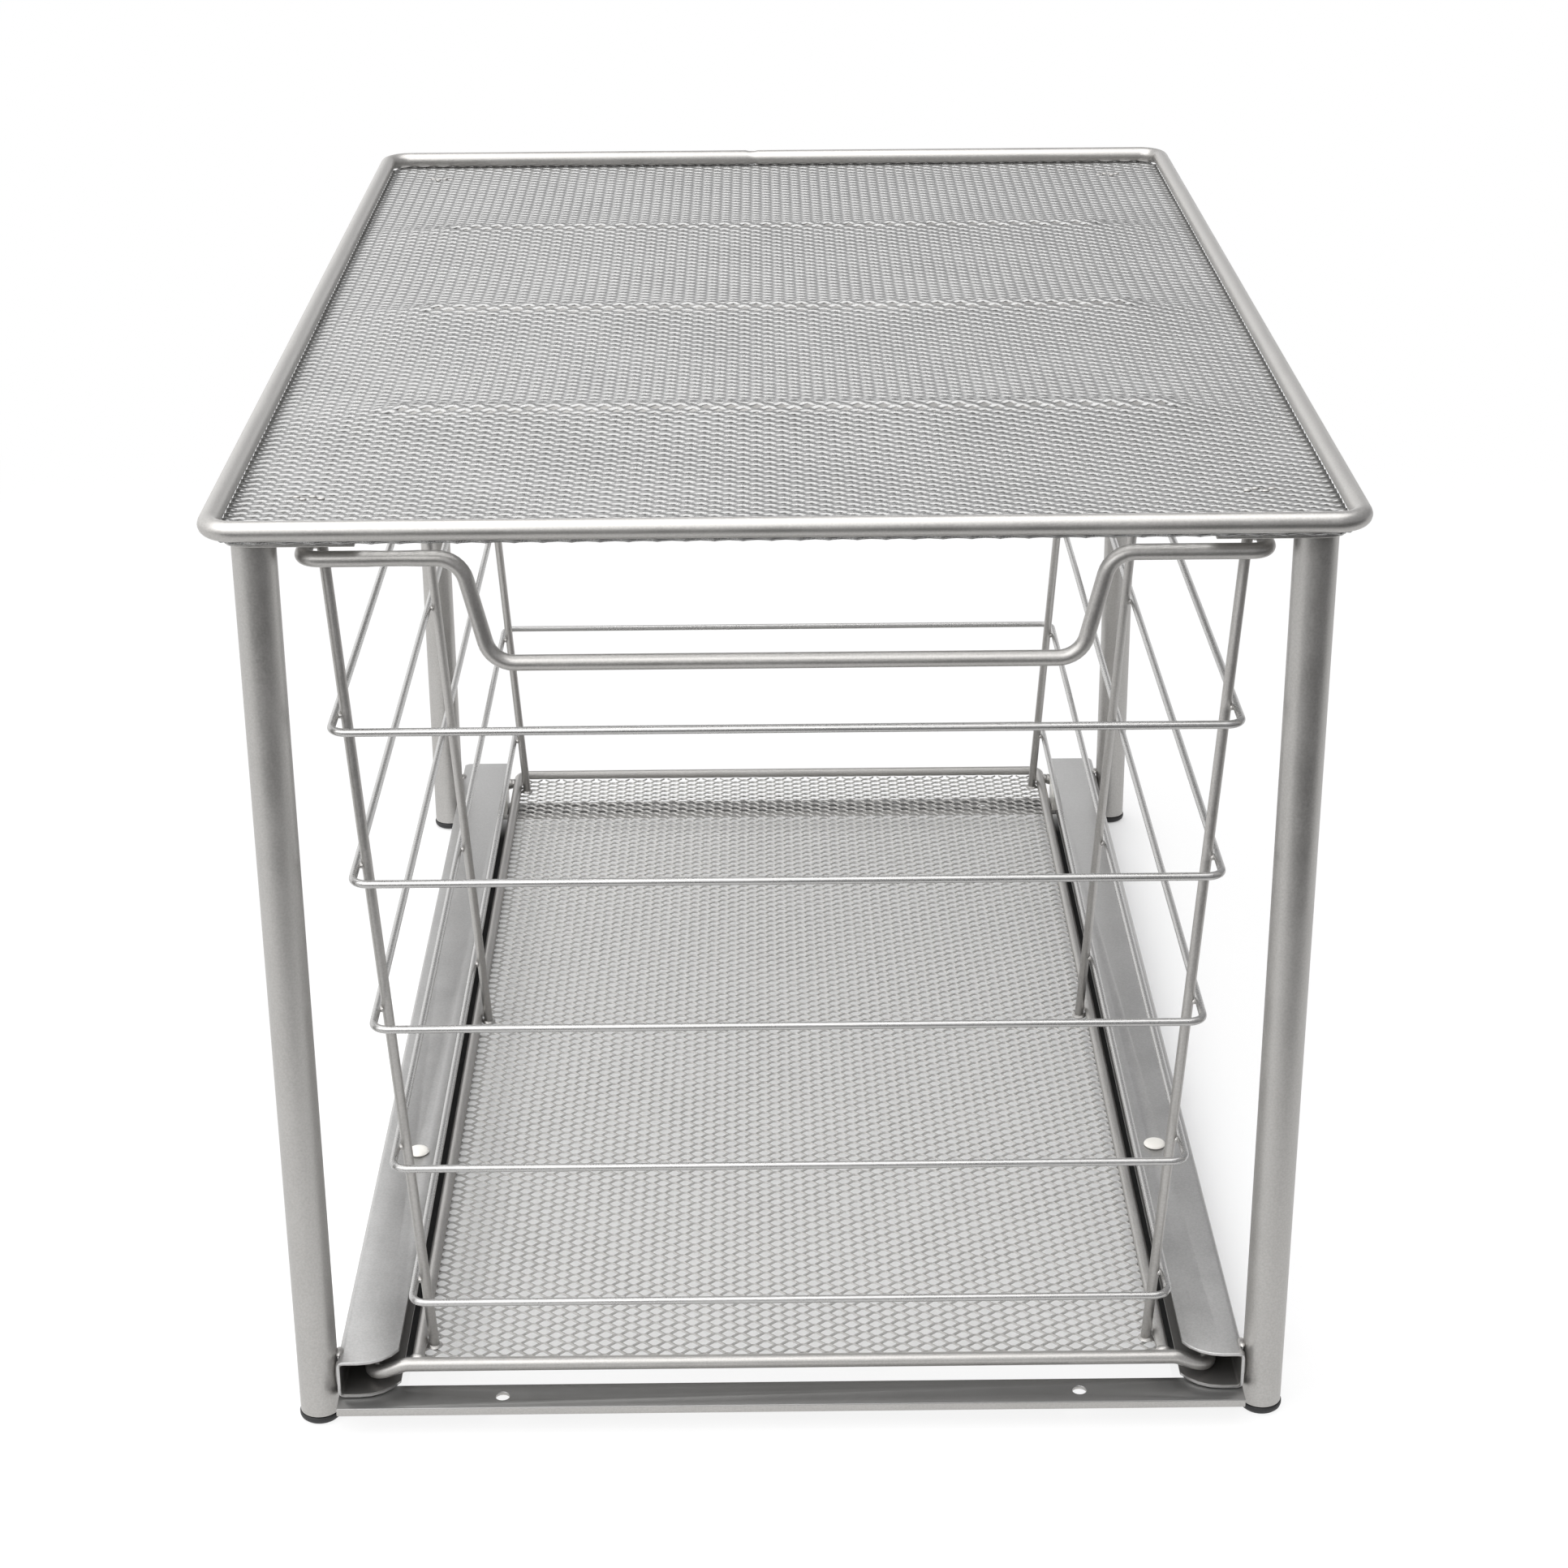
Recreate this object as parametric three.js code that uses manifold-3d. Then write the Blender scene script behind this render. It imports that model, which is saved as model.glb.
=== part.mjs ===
// A cabinet organizer: a mesh-topped steel stand with one wire basket drawer that slides out on rails.
// Sizes are in millimetres. +X is right, +Y is back, +Z is up, and the floor is z = 0.
import * as THREE from "three";
import { mergeVertices } from "three/addons/utils/BufferGeometryUtils.js";
import Module from "manifold-3d";

const wasm = await Module();
wasm.setup();

// Overall size of the stand
const overallWidth = 310;
const overallDepth = 460;
const overallHeight = 286;

// Wire, tube and sheet stock
const rimWire = 5.6;
const handleWire = 4.4;
const slideWire = 4.2;
const baseWire = 4;
const uprightWire = 3.1;
const ringWire = 2.3;
const legTube = 12;
const legWall = 1;
const railSheet = 1.1;
const stripSheet = 1.2;
const plateSheet = 1;
const meshSheet = 1.2;
const crossbarThickness = 2;

// Clearances: a weld or a seat is drawn as weldGap, and what slides has runGap
const weldGap = 0.3;
const runGap = 0.3;
const sliderHeadroom = 0.5;
const baseClearance = 3.3;
const handleClearance = 4;
const handleHeadroom = 2.7;
const stopClearance = 1;

// Stand
const rimBend = 8;
const legInset = 11;
const plateSize = 40;
const plateCorner = 9;
const crossbarNames = ["front", "middle", "rear"];
const crossbarWidth = 9;
const crossbarLength = 228;
const meshOverhang = 1.2;
const capFlange = 2.6;
const capOverhang = 0.3;
const capChamfer = 0.8;
const capPlug = 14;
const plugClearance = 0.2;
const railBottom = 9.8;
const railHeight = 12.3;
const railFlange = 18;
const railNoseRadius = 12.8;
const railNoseWidth = 11.6;
const stripWidth = 12;
const stripLip = 2.6;
const stripBehindLeg = 0.5;
const stripHole = 4.2;
const stripHoleX = 86;

// Glide button in each rail
const glideY = -99.5;
const glideInset = 3.4;
const glideStem = 3.4;
const glideHole = 4;
const glideHead = 7.2;
const glideHeadHeight = 1.3;
const glidePadHeight = 1.6;

// Drawer
const drawerSetback = 13.5;
const drawerRearInset = 2.4;
const runnerDrop = 4.2;
const armInset = 10.7;
const rearArmInset = 8;
const slideBend = 6;
const baseBend = 4.5;
const ringBend = 4.5;
const ringCount = 5;
const lowestRingRise = 21.5;
const highestRingDrop = 50;
const uprightSetback = 13;
const uprightOverrun = 1.2;
const handleBend = 4.8;
const dipBend = 8;
const dipDepth = 30;
const dipHalfWidth = 86.8;
const dipSlope = 7.3;
const sliderLength = 14;
const sliderReach = 1.6;
const sliderShoulder = 5;

// Diamonds of the two expanded-metal sheets, drawn coarser than the real ones
const diamondRatio = 1.68;
const meshStrand = 3.6;
const meshBorder = 3;
const topColumns = 6;
const baseColumns = 5;

// Facets
const thinSides = 8;
const thickSides = 12;
const roundSides = 16;
const bendSteps = 4;

// Heights and places that follow from the sizes above
const rimX = (overallWidth - rimWire) / 2;
const rimY = (overallDepth - rimWire) / 2;
const rimZ = overallHeight - rimWire / 2;
const topMeshZ = rimZ - rimWire / 2 - weldGap - meshSheet;
const plateZ = topMeshZ - weldGap - plateSheet;
const crossbarZ = topMeshZ - weldGap - crossbarThickness;
const legX = rimX - legInset;
const legY = rimY - legInset;
const legTop = plateZ - weldGap;
const railOuter = legX - legTube / 2 - weldGap;
const railInner = railOuter - railFlange;
const railFront = -legY - legTube / 2;
const railRear = overallDepth / 2;
const railTop = railBottom + railHeight;
const channelFloor = railBottom + railSheet;
const channelRoof = railTop - railSheet;
const stripTop = railBottom - weldGap;
const runnerX = (railOuter + railInner) / 2;
const runnerZ = channelFloor + runGap + slideWire / 2;
const glideX = runnerX - glideInset;
const drawerFront = -overallDepth / 2 + drawerSetback;
const drawerRear = overallDepth / 2 - drawerRearInset;
const rearArmY = drawerRear - rearArmInset;
const baseX = railInner - baseClearance - baseWire / 2;
const baseZ = runnerZ + runnerDrop;
const baseMeshZ = baseZ - baseWire / 2 - weldGap - meshSheet;
const handleX = legX - legTube / 2 - handleClearance - handleWire / 2;
const handleZ = crossbarZ - handleHeadroom - handleWire / 2;
const footX = baseX - baseWire / 2 - weldGap - uprightWire / 2;
const headX = handleX - handleWire / 2 - weldGap - uprightWire / 2;
const sliderRearY = rearArmY - slideBend - weldGap;

const vec = (x, y, z) => new THREE.Vector3(x, y, z);

// Distance of the uprights' axes from the middle at a height
function uprightX(z) {
  const share = (z - baseZ) / (handleZ - baseZ);
  return footX + (headX - footX) * share;
}

// Silver paint on steel, black plastic and white nylon
const silver = () => new THREE.MeshStandardMaterial({ color: 0xb4b3b0, roughness: 0.4, metalness: 0.65 });
const black = () => new THREE.MeshStandardMaterial({ color: 0x1c1c1d, roughness: 0.55, metalness: 0 });
const white = () => new THREE.MeshStandardMaterial({ color: 0xeceae4, roughness: 0.45, metalness: 0 });

const stand = new THREE.Group();
const drawer = new THREE.Group();

function addPiece(group, name, geometry, material) {
  const mesh = new THREE.Mesh(geometry, material);
  mesh.name = name;
  group.add(mesh);
}

// A geometry as a solid that can be joined and cut
function toSolid(geometry) {
  const bare = new THREE.BufferGeometry();
  const loose = geometry.index ? geometry.toNonIndexed() : geometry;
  bare.setAttribute("position", loose.getAttribute("position"));
  const merged = mergeVertices(bare, 1e-4);
  const vertProperties = merged.getAttribute("position").array;
  const triVerts = new Uint32Array(merged.index.array);
  return new wasm.Manifold(new wasm.Mesh({ numProp: 3, vertProperties, triVerts }));
}

function toGeometry(solid) {
  const mesh = solid.getMesh();
  const geometry = new THREE.BufferGeometry();
  geometry.setAttribute("position", new THREE.BufferAttribute(mesh.vertProperties, mesh.numProp));
  geometry.setIndex(new THREE.BufferAttribute(mesh.triVerts, 1));
  return geometry;
}

function cut(geometry, ...tools) {
  return toGeometry(tools.reduce((solid, tool) => solid.subtract(toSolid(tool)), toSolid(geometry)));
}

// A bent wire's centre line: straight runs, with a round bend at each corner between them.
// The bends' radii are taken in turn, so one radius serves all the corners.
class BentPath extends THREE.Curve {
  constructor(corners, bends, closed) {
    super();
    this.stations = [];
    const count = corners.length;
    corners.forEach((corner, i) => {
      const before = corners[(i + count - 1) % count];
      const after = corners[(i + 1) % count];
      if (!closed && i === 0) this.addEnd(corner, after.clone().sub(corner));
      else if (!closed && i === count - 1) this.addEnd(corner, corner.clone().sub(before));
      else this.addBend(before, corner, after, bends[i % bends.length]);
    });
    this.steps = closed ? this.stations.length : this.stations.length - 1;
  }

  addEnd(point, direction) {
    this.stations.push({ point, tangent: direction.normalize() });
  }

  addBend(before, corner, after, bend) {
    const back = before.clone().sub(corner).normalize();
    const ahead = after.clone().sub(corner).normalize();
    const half = back.angleTo(ahead) / 2;
    const turn = Math.PI - 2 * half;
    const middle = back.clone().add(ahead).setLength(bend / Math.sin(half)).add(corner);
    const first = back.clone().multiplyScalar(bend / Math.tan(half)).add(corner).sub(middle);
    const last = ahead.clone().multiplyScalar(bend / Math.tan(half)).add(corner).sub(middle);
    for (let i = 0; i <= bendSteps; i++) {
      const angle = (turn * i) / bendSteps;
      const point = first.clone().multiplyScalar(Math.sin(turn - angle) / Math.sin(turn));
      point.addScaledVector(last, Math.sin(angle) / Math.sin(turn)).add(middle);
      const tangent = first.clone().multiplyScalar(-Math.cos(turn - angle));
      tangent.addScaledVector(last, Math.cos(angle)).normalize();
      this.stations.push({ point, tangent });
    }
  }

  stationAt(u) {
    return this.stations[Math.round(u * this.steps) % this.stations.length];
  }

  getPointAt(u, target = new THREE.Vector3()) {
    return target.copy(this.stationAt(u).point);
  }

  getTangentAt(u, target = new THREE.Vector3()) {
    return target.copy(this.stationAt(u).tangent);
  }
}

function circleShape(diameter, sides) {
  const points = [];
  for (let i = 0; i < sides; i++) {
    const angle = ((i + 0.5) * 2 * Math.PI) / sides;
    points.push(new THREE.Vector2(Math.cos(angle), Math.sin(angle)).multiplyScalar(diameter / 2));
  }
  return new THREE.Shape(points);
}

// A wire with two free ends
function openWire(corners, diameter, bends, sides) {
  const path = new BentPath(corners, bends, false);
  const options = { extrudePath: path, steps: path.steps };
  return new THREE.ExtrudeGeometry(circleShape(diameter, sides), options);
}

// A wire bent to a loop whose ends are welded together
function closedWire(corners, diameter, bends, sides) {
  const path = new BentPath(corners, bends, true);
  return new THREE.TubeGeometry(path, path.steps, diameter / 2, sides, true);
}

// The corners of a level loop, seen from above anticlockwise from the front left
function loopCorners(halfWidth, front, rear, z) {
  const low = [vec(-halfWidth, front, z), vec(halfWidth, front, z)];
  const high = [vec(halfWidth, rear, z), vec(-halfWidth, rear, z)];
  return [...low, ...high];
}

// A straight round rod between two points
function rod(from, to, diameter, sides) {
  const along = to.clone().sub(from);
  const geometry = new THREE.CylinderGeometry(diameter / 2, diameter / 2, along.length(), sides);
  const turn = new THREE.Quaternion().setFromUnitVectors(vec(0, 1, 0), along.clone().normalize());
  const middle = from.clone().lerp(to, 0.5);
  return geometry.applyQuaternion(turn).translate(middle.x, middle.y, middle.z);
}

// A box from its lowest to its highest corner
function block(low, high) {
  const size = high.clone().sub(low);
  const middle = low.clone().lerp(high, 0.5);
  return new THREE.BoxGeometry(size.x, size.y, size.z).translate(middle.x, middle.y, middle.z);
}

// A flat outline, given from above, raised from z to z + height
function slab(shape, z, height) {
  return new THREE.ExtrudeGeometry(shape, { depth: height, bevelEnabled: false, curveSegments: bendSteps })
    .translate(0, 0, z);
}

// A profile of [radius, height] pairs turned around a vertical axis at x, y
function turned(profile, x, y) {
  const points = profile.map(([radius, height]) => new THREE.Vector2(radius, height));
  return new THREE.LatheGeometry(points, roundSides).rotateX(Math.PI / 2).translate(x, y, 0);
}

// Expanded metal: a flat sheet with staggered rows of diamonds
function diamondNet(halfWidth, front, rear, z, columns) {
  const longWay = (2 * (halfWidth - meshBorder)) / columns;
  const depth = rear - front - 2 * meshBorder;
  const rows = Math.round((2 * depth * diamondRatio) / longWay) - 1;
  const rowPitch = depth / (rows + 1);
  const inner = (longWay * rowPitch) / 2 / Math.hypot(longWay / 2, rowPitch);
  const shrink = 1 - meshStrand / 2 / inner;
  const diamonds = [];
  for (let row = 1; row <= rows; row++) {
    const count = row % 2 === 0 ? columns - 1 : columns;
    const y = front + meshBorder + row * rowPitch;
    for (let i = 0; i < count; i++) {
      const x = (i - (count - 1) / 2) * longWay;
      diamonds.push(diamond(x, y, (longWay / 2) * shrink, rowPitch * shrink));
    }
  }
  const sheet = block(vec(-halfWidth, front, z), vec(halfWidth, rear, z + meshSheet));
  return cut(sheet, slab(diamonds, z - 1, meshSheet + 2));
}

function diamond(x, y, halfLong, halfShort) {
  return new THREE.Shape([
    new THREE.Vector2(x + halfLong, y),
    new THREE.Vector2(x, y + halfShort),
    new THREE.Vector2(x - halfLong, y),
    new THREE.Vector2(x, y - halfShort),
  ]);
}

// Shelf: the rim, the mesh welded under it and the bars that stiffen the mesh
function addShelf() {
  const rimCorners = loopCorners(rimX, -rimY, rimY, rimZ);
  addPiece(stand, "top_rim", closedWire(rimCorners, rimWire, [rimBend], thickSides), silver());
  const meshX = rimX + meshOverhang;
  const meshY = rimY + meshOverhang;
  addPiece(stand, "top_mesh", diamondNet(meshX, -meshY, meshY, topMeshZ, topColumns), silver());
  crossbarNames.forEach((name, i) => {
    const y = -rimY + (2 * rimY * (i + 1)) / (crossbarNames.length + 1);
    const low = vec(-crossbarLength / 2, y - crossbarWidth / 2, crossbarZ);
    const high = vec(crossbarLength / 2, y + crossbarWidth / 2, crossbarZ + crossbarThickness);
    addPiece(stand, `crossbar_${name}`, block(low, high), silver());
  });
}

// One corner of the stand: the gusset under the shelf, the tube leg and its foot cap
function addCorner(name, sideX, sideY) {
  const outerX = rimX + meshOverhang;
  const outerY = rimY + meshOverhang;
  const outline = new THREE.Shape();
  outline.moveTo(sideX * (outerX - plateSize), sideY * outerY);
  outline.lineTo(sideX * (outerX - plateCorner), sideY * outerY);
  outline.quadraticCurveTo(sideX * outerX, sideY * outerY, sideX * outerX, sideY * (outerY - plateCorner));
  outline.lineTo(sideX * outerX, sideY * (outerY - plateSize));
  outline.lineTo(sideX * (outerX - plateSize), sideY * (outerY - plateSize));
  addPiece(stand, `corner_plate_${name}`, slab(outline, plateZ, plateSheet), silver());

  const x = sideX * legX;
  const y = sideY * legY;
  const outside = legTube / 2;
  const inside = outside - legWall;
  const legBottom = capFlange + weldGap;
  const tube = [
    [inside, legBottom],
    [outside, legBottom],
    [outside, legTop],
    [inside, legTop],
    [inside, legBottom],
  ];
  addPiece(stand, `leg_${name}`, turned(tube, x, y), silver());

  const flange = outside + capOverhang;
  const plug = inside - plugClearance;
  const cap = [
    [0, 0],
    [flange - capChamfer, 0],
    [flange, capChamfer],
    [flange, capFlange],
    [plug, capFlange],
    [plug, capPlug],
    [0, capPlug],
  ];
  addPiece(stand, `foot_cap_${name}`, turned(cap, x, y), black());
}

// A C channel that opens towards the middle, its front corners rounded off and a hole for its glide
function addRail(name, side) {
  const profile = [
    [railOuter, railBottom],
    [railOuter, railTop],
    [railInner, railTop],
    [railInner, channelRoof],
    [railOuter - railSheet, channelRoof],
    [railOuter - railSheet, channelFloor],
    [railInner, channelFloor],
    [railInner, railBottom],
  ];
  const section = new THREE.Shape(profile.map(([x, z]) => new THREE.Vector2(side * x, z)));
  const channel = new THREE.ExtrudeGeometry(section, { depth: railRear - railFront, bevelEnabled: false })
    .rotateX(Math.PI / 2)
    .translate(0, railRear, 0);

  const noseX = railInner + railNoseWidth;
  const noseY = railFront + railNoseRadius;
  const sweep = Math.asin(railNoseWidth / railNoseRadius);
  const corner = [[railInner - 1, railFront - 1], [noseX, railFront - 1]];
  for (let i = 0; i <= bendSteps; i++) {
    const angle = (sweep * i) / bendSteps;
    corner.push([noseX - railNoseRadius * Math.sin(angle), noseY - railNoseRadius * Math.cos(angle)]);
  }
  corner.push([railInner - 1, noseY - railNoseRadius * Math.cos(sweep)]);
  const nose = new THREE.Shape(corner.map(([x, y]) => new THREE.Vector2(side * x, y)));
  const noseTool = slab(nose, railBottom - 1, railHeight + 2);

  const holeLow = vec(side * glideX, glideY, channelRoof - 1);
  const holeTool = rod(holeLow, vec(side * glideX, glideY, railTop + 1), glideHole, roundSides);
  addPiece(stand, `rail_${name}`, cut(channel, noseTool, holeTool), silver());

  const stem = glideStem / 2;
  const head = glideHead / 2;
  const padTop = channelRoof - weldGap;
  const headBottom = railTop + weldGap;
  const button = [
    [0, padTop - glidePadHeight],
    [head, padTop - glidePadHeight],
    [head, padTop],
    [stem, padTop],
    [stem, headBottom],
    [head, headBottom],
    [head, headBottom + glideHeadHeight / 2],
    [stem, headBottom + glideHeadHeight],
    [0, headBottom + glideHeadHeight],
  ];
  addPiece(stand, `rail_glide_${name}`, turned(button, side * glideX, glideY), white());
}

// A flat cross strip under the rails, with a lip along its front edge and two screw holes
function addStrip(name, legPlace) {
  const back = legPlace + stripBehindLeg;
  const front = back - stripWidth;
  const bottom = stripTop - stripSheet;
  const section = new THREE.Shape([
    new THREE.Vector2(front, stripTop),
    new THREE.Vector2(front, stripTop - stripLip),
    new THREE.Vector2(front + stripSheet, stripTop - stripLip),
    new THREE.Vector2(front + stripSheet, bottom),
    new THREE.Vector2(back, bottom),
    new THREE.Vector2(back, stripTop),
  ]);
  const length = 2 * railOuter;
  const sideways = new THREE.Matrix4().set(0, 0, 1, 0, 1, 0, 0, 0, 0, 1, 0, 0, 0, 0, 0, 1);
  const strip = new THREE.ExtrudeGeometry(section, { depth: length, bevelEnabled: false })
    .applyMatrix4(sideways)
    .translate(-length / 2, 0, 0);
  const holeY = (front + back) / 2;
  const holes = [-1, 1].map((side) => {
    const low = vec(side * stripHoleX, holeY, bottom - 1);
    return rod(low, vec(side * stripHoleX, holeY, stripTop + 1), stripHole, roundSides);
  });
  addPiece(stand, `${name}_strip`, cut(strip, ...holes), silver());
}

// Bottom of the drawer: the front bar with its runners, the frame around the sides and back, the mesh
function addDrawerBottom() {
  const armX = runnerX - armInset;
  const rearEndX = baseX + baseWire / 2 + weldGap;
  const rightHalf = [
    vec(armX, drawerFront, baseZ),
    vec(runnerX, drawerFront, runnerZ),
    vec(runnerX, rearArmY, runnerZ),
    vec(rearEndX, rearArmY, baseZ),
  ];
  const leftHalf = rightHalf.map((p) => vec(-p.x, p.y, p.z)).reverse();
  const slide = openWire([...leftHalf, ...rightHalf], slideWire, [slideBend], thinSides);
  addPiece(drawer, "slide_wire", slide, silver());

  const sideFront = drawerFront + slideWire / 2 + weldGap;
  const frameCorners = [
    vec(-baseX, sideFront, baseZ),
    vec(-baseX, drawerRear, baseZ),
    vec(baseX, drawerRear, baseZ),
    vec(baseX, sideFront, baseZ),
  ];
  addPiece(drawer, "base_frame", openWire(frameCorners, baseWire, [baseBend], thinSides), silver());
  addPiece(drawer, "base_mesh", diamondNet(baseX, drawerFront, drawerRear, baseMeshZ, baseColumns), silver());
}

// A nylon saddle over the runner near its back end, which meets the glide's pad when the drawer is out
function addSlider(name, side) {
  const innerX = baseX + baseWire / 2 + sliderReach;
  const outerX = runnerX + sliderShoulder;
  const xs = [side * innerX, side * outerX];
  const low = vec(Math.min(...xs), sliderRearY - sliderLength, channelFloor + runGap);
  const high = vec(Math.max(...xs), sliderRearY, channelRoof - sliderHeadroom);
  const grip = slideWire / 2 + weldGap;
  const boreFrom = vec(side * runnerX, low.y - 1, runnerZ);
  const bore = rod(boreFrom, vec(side * runnerX, high.y + 1, runnerZ), 2 * grip, roundSides);
  const slotLow = vec(side * runnerX - grip, low.y - 1, low.z - 1);
  const slot = block(slotLow, vec(side * runnerX + grip, high.y + 1, runnerZ));
  addPiece(drawer, `rear_slider_${name}`, cut(block(low, high), bore, slot), white());
}

// Sides of the drawer: six leaning uprights, the rings around them and the rim with its dipped handle
function addDrawerSides() {
  const frontY = drawerFront + uprightSetback;
  const rearY = drawerRear - uprightSetback;
  const rows = { front: frontY, middle: (frontY + rearY) / 2, rear: rearY };
  const footZ = baseMeshZ + meshSheet + 2 * weldGap;
  const headZ = handleZ + uprightOverrun;
  for (const [row, y] of Object.entries(rows)) {
    for (const [name, side] of [["left", -1], ["right", 1]]) {
      const foot = vec(side * uprightX(footZ), y, footZ);
      const head = vec(side * uprightX(headZ), y, headZ);
      addPiece(drawer, `upright_${row}_${name}`, rod(foot, head, uprightWire, thinSides), silver());
    }
  }

  const lowest = baseZ + lowestRingRise;
  const highest = handleZ - highestRingDrop;
  for (let i = 0; i < ringCount; i++) {
    const z = lowest + ((highest - lowest) * i) / (ringCount - 1);
    const x = uprightX(z) + uprightWire / 2 + weldGap + ringWire / 2;
    const corners = loopCorners(x, drawerFront, drawerRear, z);
    addPiece(drawer, `ring_${i + 1}`, closedWire(corners, ringWire, [ringBend], thinSides), silver());
  }

  const dipZ = handleZ - dipDepth;
  const dipBottom = dipHalfWidth - dipSlope;
  const handleCorners = [
    vec(-handleX, drawerFront, handleZ),
    vec(-dipHalfWidth, drawerFront, handleZ),
    vec(-dipBottom, drawerFront, dipZ),
    vec(dipBottom, drawerFront, dipZ),
    vec(dipHalfWidth, drawerFront, handleZ),
    vec(handleX, drawerFront, handleZ),
    vec(handleX, drawerRear, handleZ),
    vec(-handleX, drawerRear, handleZ),
  ];
  const corner = handleBend;
  const bends = [corner, dipBend, dipBend, dipBend, dipBend, corner, corner, corner];
  addPiece(drawer, "handle_rim", closedWire(handleCorners, handleWire, bends, thickSides), silver());
}

addShelf();
for (const [row, sideY] of [["front", -1], ["rear", 1]]) {
  for (const [name, sideX] of [["left", -1], ["right", 1]]) addCorner(`${row}_${name}`, sideX, sideY);
}
for (const [name, side] of [["left", -1], ["right", 1]]) {
  addRail(name, side);
  addSlider(name, side);
}
addStrip("front", -legY);
addStrip("rear", legY);
addDrawerBottom();
addDrawerSides();

const organizer = new THREE.Group();
organizer.add(stand, drawer);

// How far the drawer runs out before its saddles meet the glides
organizer.userData.travel = sliderRearY - sliderLength - (glideY + glideHead / 2) - stopClearance;

export default organizer;
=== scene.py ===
# %% [markdown]
# A sliding drawer organizer: a painted steel stand with a mesh shelf, and a deep wire drawer that
# rolls out on two channel rails. The imported CAD model is loaded first as a fixed frame, in metres,
# and every piece below is a finer version of one of its nodes.

# %% The imported model
from itertools import cycle, product
from math import pi, radians, tan

import bmesh
import bpy
from mathutils import Matrix, Vector


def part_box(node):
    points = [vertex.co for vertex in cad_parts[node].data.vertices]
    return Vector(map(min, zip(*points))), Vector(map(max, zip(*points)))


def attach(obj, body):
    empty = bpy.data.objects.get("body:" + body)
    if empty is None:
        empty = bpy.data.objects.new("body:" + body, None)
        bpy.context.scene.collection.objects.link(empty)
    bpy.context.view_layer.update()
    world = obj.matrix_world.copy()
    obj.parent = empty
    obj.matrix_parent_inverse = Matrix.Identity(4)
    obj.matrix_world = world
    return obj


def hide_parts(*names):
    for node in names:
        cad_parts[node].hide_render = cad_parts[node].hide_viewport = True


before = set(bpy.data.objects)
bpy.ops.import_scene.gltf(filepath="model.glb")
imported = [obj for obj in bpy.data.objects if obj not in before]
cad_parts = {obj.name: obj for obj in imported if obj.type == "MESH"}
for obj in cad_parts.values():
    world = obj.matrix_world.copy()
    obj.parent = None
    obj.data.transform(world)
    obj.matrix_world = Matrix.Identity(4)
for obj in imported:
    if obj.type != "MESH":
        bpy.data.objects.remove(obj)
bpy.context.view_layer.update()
mm = 0.001

# %% [markdown]
# Shader maths reads best as plain sums. A Field is one output of a material's nodes: adding or
# multiplying fields adds Math nodes, and the node method adds any other kind of node, with its
# settings first and then the values or links of its sockets. The helpers below it start a finish,
# blend two colours, step softly from one value to another, and take one coordinate of a place.

# %% Shader sums
class Field:
    def __init__(self, tree, socket=None):
        self.tree = tree
        self.socket = socket

    def node(self, kind, settings=None, sockets=None, output=0):
        made = self.tree.nodes.new(kind)
        for name, value in (settings or {}).items():
            setattr(made, name, value)
        for name, value in (sockets or {}).items():
            if isinstance(value, Field):
                self.tree.links.new(value.socket, made.inputs[name])
            else:
                made.inputs[name].default_value = value
        return Field(self.tree, made.outputs[output] if made.outputs else None)

    def sum(self, operation, first, second):
        return self.node("ShaderNodeMath", {"operation": operation}, {0: first, 1: second})

    def __add__(self, other):
        return self.sum("ADD", self, other)

    def __sub__(self, other):
        return self.sum("SUBTRACT", self, other)

    def __rsub__(self, other):
        return self.sum("SUBTRACT", other, self)

    def __mul__(self, other):
        return self.sum("MULTIPLY", self, other)

    __radd__ = __add__
    __rmul__ = __mul__


def new_finish(name):
    material = bpy.data.materials.new(name)
    material.use_nodes = True
    material.node_tree.nodes.clear()
    return material, Field(material.node_tree)


def colour_input(colour):
    return colour if isinstance(colour, Field) else (*colour, 1)


def blend_colours(share, low, high):
    sockets = {0: share, 6: colour_input(low), 7: colour_input(high)}
    return share.node("ShaderNodeMix", {"data_type": "RGBA"}, sockets, output=2)


def steps_between(value, low, high, start=0.0, end=1.0):
    smooth = {"interpolation_type": "SMOOTHSTEP"}
    ends = {"From Min": low, "From Max": high, "To Min": start, "To Max": end}
    return value.node("ShaderNodeMapRange", smooth, {"Value": value, **ends})


def along(place, axis):
    return place.node("ShaderNodeSeparateXYZ", sockets={"Vector": place}, output=axis)
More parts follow.
